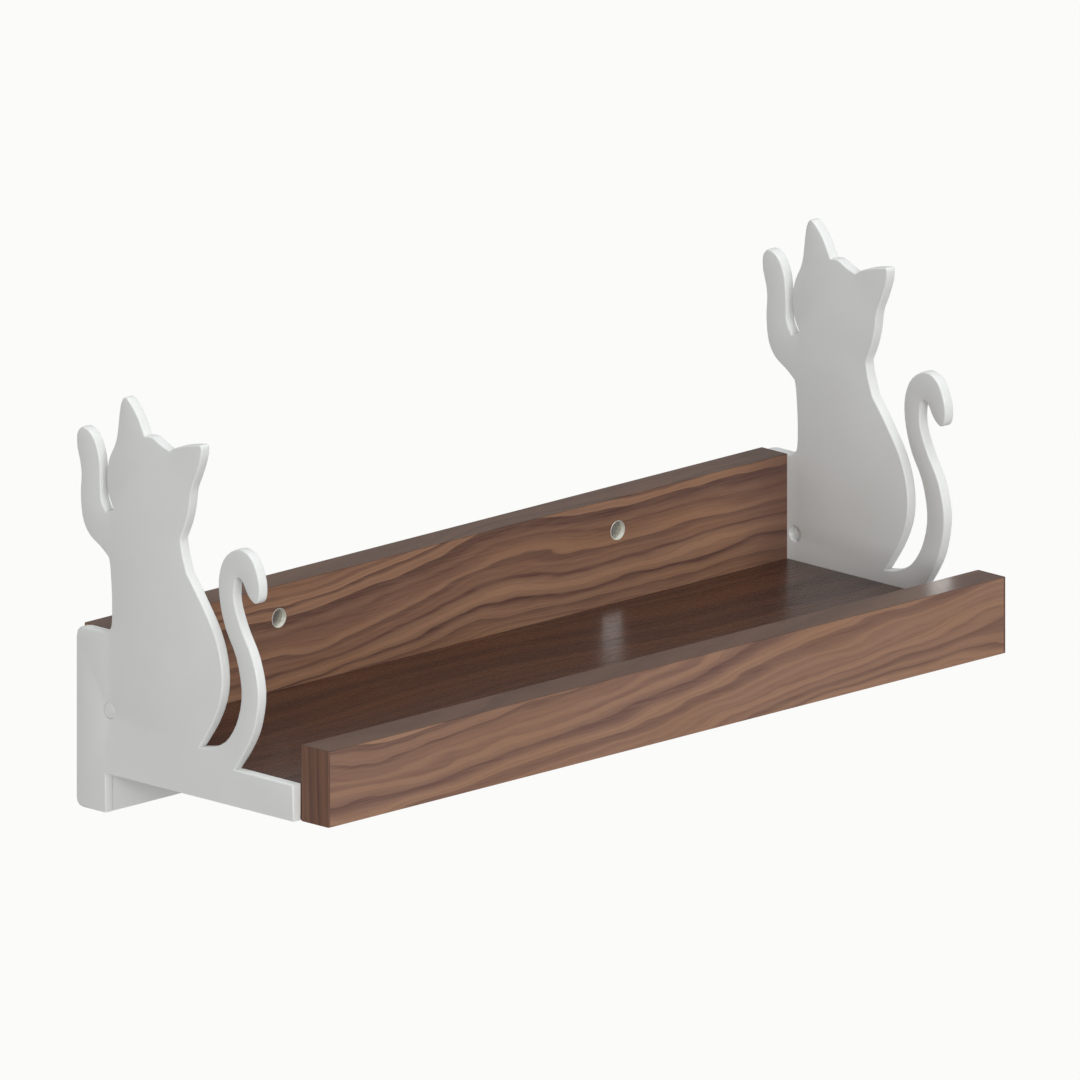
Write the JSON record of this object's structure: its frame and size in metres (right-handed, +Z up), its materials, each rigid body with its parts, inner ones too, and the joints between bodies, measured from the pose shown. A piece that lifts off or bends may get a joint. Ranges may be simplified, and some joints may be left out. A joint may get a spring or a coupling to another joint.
{
  "type": "wall ledge shelf",
  "caption": "Wall ledge shelf with a walnut rail, shelf and front lip between two white side panels cut as sitting cats with a raised paw.",
  "frame": {"origin": "on the back face of the rail, midway between its two wall-screw holes", "axes": "+X along the wall towards the right panel, +Y into the wall, +Z up"},
  "size_m": [0.41, 0.144, 0.1819],
  "materials": {
    "walnut": "satin lacquered walnut with the grain along the boards",
    "walnut_band": "satin lacquered walnut veneer with the grain upright",
    "white_lacquer": "white satin lacquer on board",
    "white_plastic": "moulded white plastic",
    "beech": "bare beech dowel",
    "zinc_steel": "zinc-plated steel"
  },
  "bodies": {
    "root": {"back_rail": "walnut", "shelf_board": "walnut", "front_lip": "walnut", "support_cleat": "white_lacquer", "cat_panel_left": "white_lacquer", "cat_panel_right": "white_lacquer", "lip_end_band_left": "walnut_band", "lip_end_band_right": "walnut_band", "panel_plug_left": "white_plastic", "panel_plug_right": "white_plastic", "screw_cup_left": "white_plastic", "screw_cup_right": "white_plastic", "screw_cap_left": "zinc_steel", "screw_cap_right": "zinc_steel", "rail_low_dowel_left": "beech", "rail_low_dowel_right": "beech", "rail_high_dowel_left": "beech", "rail_high_dowel_right": "beech", "shelf_rear_dowel_left": "beech", "shelf_rear_dowel_right": "beech", "shelf_front_dowel_left": "beech", "shelf_front_dowel_right": "beech", "cleat_dowel_left": "beech", "cleat_dowel_right": "beech", "lip_dowel_1": "beech", "lip_dowel_2": "beech", "lip_dowel_3": "beech", "rail_screw_1": "zinc_steel", "rail_screw_2": "zinc_steel", "rail_screw_3": "zinc_steel", "cleat_screw_1": "zinc_steel", "cleat_screw_2": "zinc_steel", "cleat_screw_3": "zinc_steel", "cleat_screw_4": "zinc_steel"}
  },
  "joints": []
}
